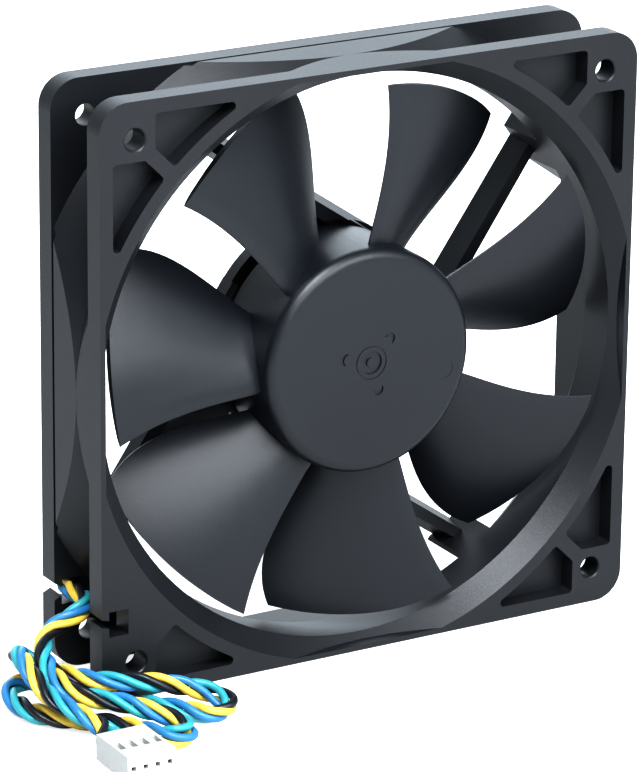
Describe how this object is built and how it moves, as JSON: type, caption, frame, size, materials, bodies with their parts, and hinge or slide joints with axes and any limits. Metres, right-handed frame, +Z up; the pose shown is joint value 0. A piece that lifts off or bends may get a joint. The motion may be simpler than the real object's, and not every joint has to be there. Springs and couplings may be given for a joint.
{
  "type": "case fan",
  "caption": "Square axial case fan with a curved-blade impeller on a brushless hub motor and a loose wire lead to a flat in-line connector.",
  "frame": {"origin": "middle of the bottom edge of the square frame, halfway through its depth", "axes": "+X right seen from the intake side, +Y from intake to exhaust along the rotor axis, +Z up"},
  "size_m": [0.1405, 0.0611, 0.12],
  "materials": {
    "frame_plastic": "satin moulded black PBT",
    "impeller_plastic": "semi-gloss moulded black PBT",
    "steel": "drawn steel",
    "ground_steel": "ground and polished",
    "silicon_steel": "stamped laminations",
    "bonded_ferrite": "matt bonded ferrite",
    "brass": "turned",
    "sintered_bronze": "oil-filled sintered bronze",
    "nylon_washer": "natural nylon",
    "plug_rubber": "moulded rubber",
    "label_paper": "printed film, no text",
    "former_plastic": "white PBT",
    "enamelled_copper": "enamelled copper wire",
    "tinned_pin": "tinned",
    "board_laminate": "solder mask on laminate",
    "chip_plastic": "moulded epoxy",
    "ceramic": "ceramic",
    "wire_black": "PVC insulation",
    "wire_yellow": "PVC insulation",
    "wire_green": "PVC insulation",
    "wire_blue": "PVC insulation",
    "lead_bundle": "four PVC insulated conductors",
    "connector_nylon": "white nylon"
  },
  "bodies": {
    "housing": {"frame": "frame_plastic", "bearing_tube": "brass", "sleeve_bearing": "sintered_bronze", "oil_seal_ring": "nylon_washer", "thrust_washer": "nylon_washer", "thrust_pad": "nylon_washer", "bearing_plug": "plug_rubber", "back_label": "label_paper", "stator_core": "silicon_steel", "front_winding_former": "former_plastic", "rear_winding_former": "former_plastic", "coil_1": "enamelled_copper", "coil_2": "enamelled_copper", "coil_3": "enamelled_copper", "coil_4": "enamelled_copper", "winding_pins": "tinned_pin", "circuit_board": "board_laminate", "driver_ic": "chip_plastic", "hall_sensor": "chip_plastic", "capacitor": "ceramic", "diode": "chip_plastic", "chip_resistors": "chip_plastic", "inner_wire_black": "wire_black", "inner_wire_yellow": "wire_yellow", "inner_wire_green": "wire_green", "inner_wire_blue": "wire_blue", "lead": "lead_bundle", "lead_hank": "lead_bundle", "lead_end": "lead_bundle", "connector_housing": "connector_nylon", "connector_contacts": "tinned_pin"},
    "rotor": {"impeller": "impeller_plastic", "rotor_cup": "steel", "ring_magnet": "bonded_ferrite", "shaft": "ground_steel", "shaft_bush": "brass", "retaining_clip": "nylon_washer"}
  },
  "joints": [
    {"name": "impeller_spin", "type": "hinge", "parent": "housing", "child": "rotor", "pos_m": [0, 0, 0.06], "axis": [0, -1, 0], "continuous": true}
  ]
}
